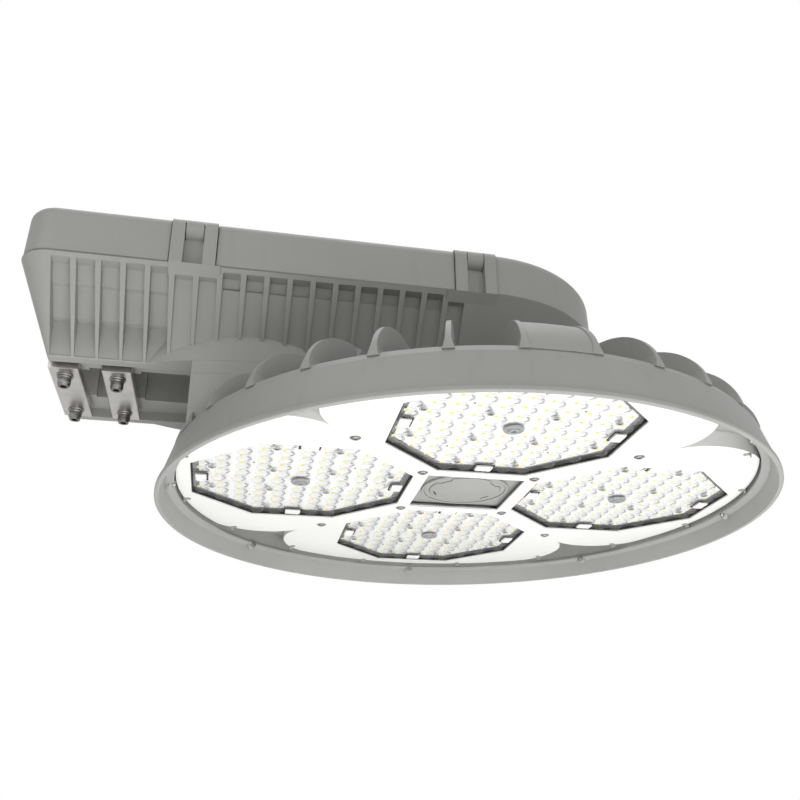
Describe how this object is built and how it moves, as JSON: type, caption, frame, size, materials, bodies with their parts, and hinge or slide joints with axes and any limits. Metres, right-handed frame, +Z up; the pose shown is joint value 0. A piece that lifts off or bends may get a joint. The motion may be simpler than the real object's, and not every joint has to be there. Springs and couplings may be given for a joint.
{
  "type": "high-mast light",
  "caption": "Round high-mast floodlight head with radial cooling blades, clustered octagonal LED lens modules, finned driver housing with hinged lid and pipe clamp.",
  "frame": {"origin": "on the axis of the clamped pipe, midway between the two clamp bars", "axes": "+X along the pipe from its open end towards the lamp head, +Y to the lid screw side, away from the hinges, +Z up, away from the lenses"},
  "size_m": [0.772, 0.64, 0.2455],
  "materials": {
    "casting_paint": "satin powder coat",
    "bar_steel": "brushed",
    "stainless": "bright",
    "seal_rubber": "matt",
    "tray_white": "gloss white",
    "lens_clear": "clear",
    "board_white": "white solder mask",
    "pad_grey": "matt",
    "zinc_plate": "plain",
    "driver_case": "anodised",
    "terminal_plastic": "moulded",
    "surge_plastic": "moulded"
  },
  "bodies": {
    "fitting": {"driver_housing": "casting_paint", "saddle_block": "casting_paint", "screw_lug_1": "casting_paint", "screw_lug_2": "casting_paint", "well_rim": "casting_paint", "head_casting": "casting_paint", "neck_walls": "casting_paint", "neck_top": "casting_paint", "head_rim": "casting_paint", "cooling_blades": "casting_paint", "lid_gasket": "seal_rubber", "hinge_pin_1": "stainless", "hinge_pin_2": "stainless", "reflector_tray": "tray_white", "tray_screws": "stainless", "centre_cap": "casting_paint", "gear_plate": "zinc_plate", "led_driver_1": "driver_case", "led_driver_2": "driver_case", "terminal_block": "terminal_plastic", "surge_protector": "surge_plastic", "supply_grommet": "seal_rubber", "joint_screws": "stainless", "lens_1": "lens_clear", "lens_seal_1": "seal_rubber", "led_board_1": "board_white", "thermal_pad_1": "pad_grey", "lens_2": "lens_clear", "lens_seal_2": "seal_rubber", "led_board_2": "board_white", "thermal_pad_2": "pad_grey", "lens_3": "lens_clear", "lens_seal_3": "seal_rubber", "led_board_3": "board_white", "thermal_pad_3": "pad_grey", "lens_4": "lens_clear", "lens_seal_4": "seal_rubber", "led_board_4": "board_white", "thermal_pad_4": "pad_grey"},
    "lid": {"lid": "casting_paint"},
    "thumb_screw_1": {"captive_screw_1": "stainless"},
    "thumb_screw_2": {"captive_screw_2": "stainless"},
    "clamp_1": {"clamp_bar_1": "bar_steel", "clamp_bolts_1": "stainless", "clamp_washers_1": "stainless"},
    "clamp_2": {"clamp_bar_2": "bar_steel", "clamp_bolts_2": "stainless", "clamp_washers_2": "stainless"}
  },
  "joints": [
    {"name": "lid_hinge", "type": "hinge", "parent": "fitting", "child": "lid", "pos_m": [0.2296, -0.141, 0.0765], "axis": [1, 0, 0], "range_deg": [0, 105]},
    {"name": "thumb_screw_1_slide", "type": "slide", "parent": "lid", "child": "thumb_screw_1", "axis": [0, 0.1359, 0.9907], "range_m": [0, 0.008]},
    {"name": "thumb_screw_2_slide", "type": "slide", "parent": "lid", "child": "thumb_screw_2", "axis": [0, 0.1359, 0.9907], "range_m": [0, 0.008]},
    {"name": "clamp_1_slide", "type": "slide", "parent": "fitting", "child": "clamp_1", "axis": [0, 0, -1], "range_m": [0, 0.012]},
    {"name": "clamp_2_slide", "type": "slide", "parent": "fitting", "child": "clamp_2", "axis": [0, 0, -1], "range_m": [0, 0.012]}
  ]
}
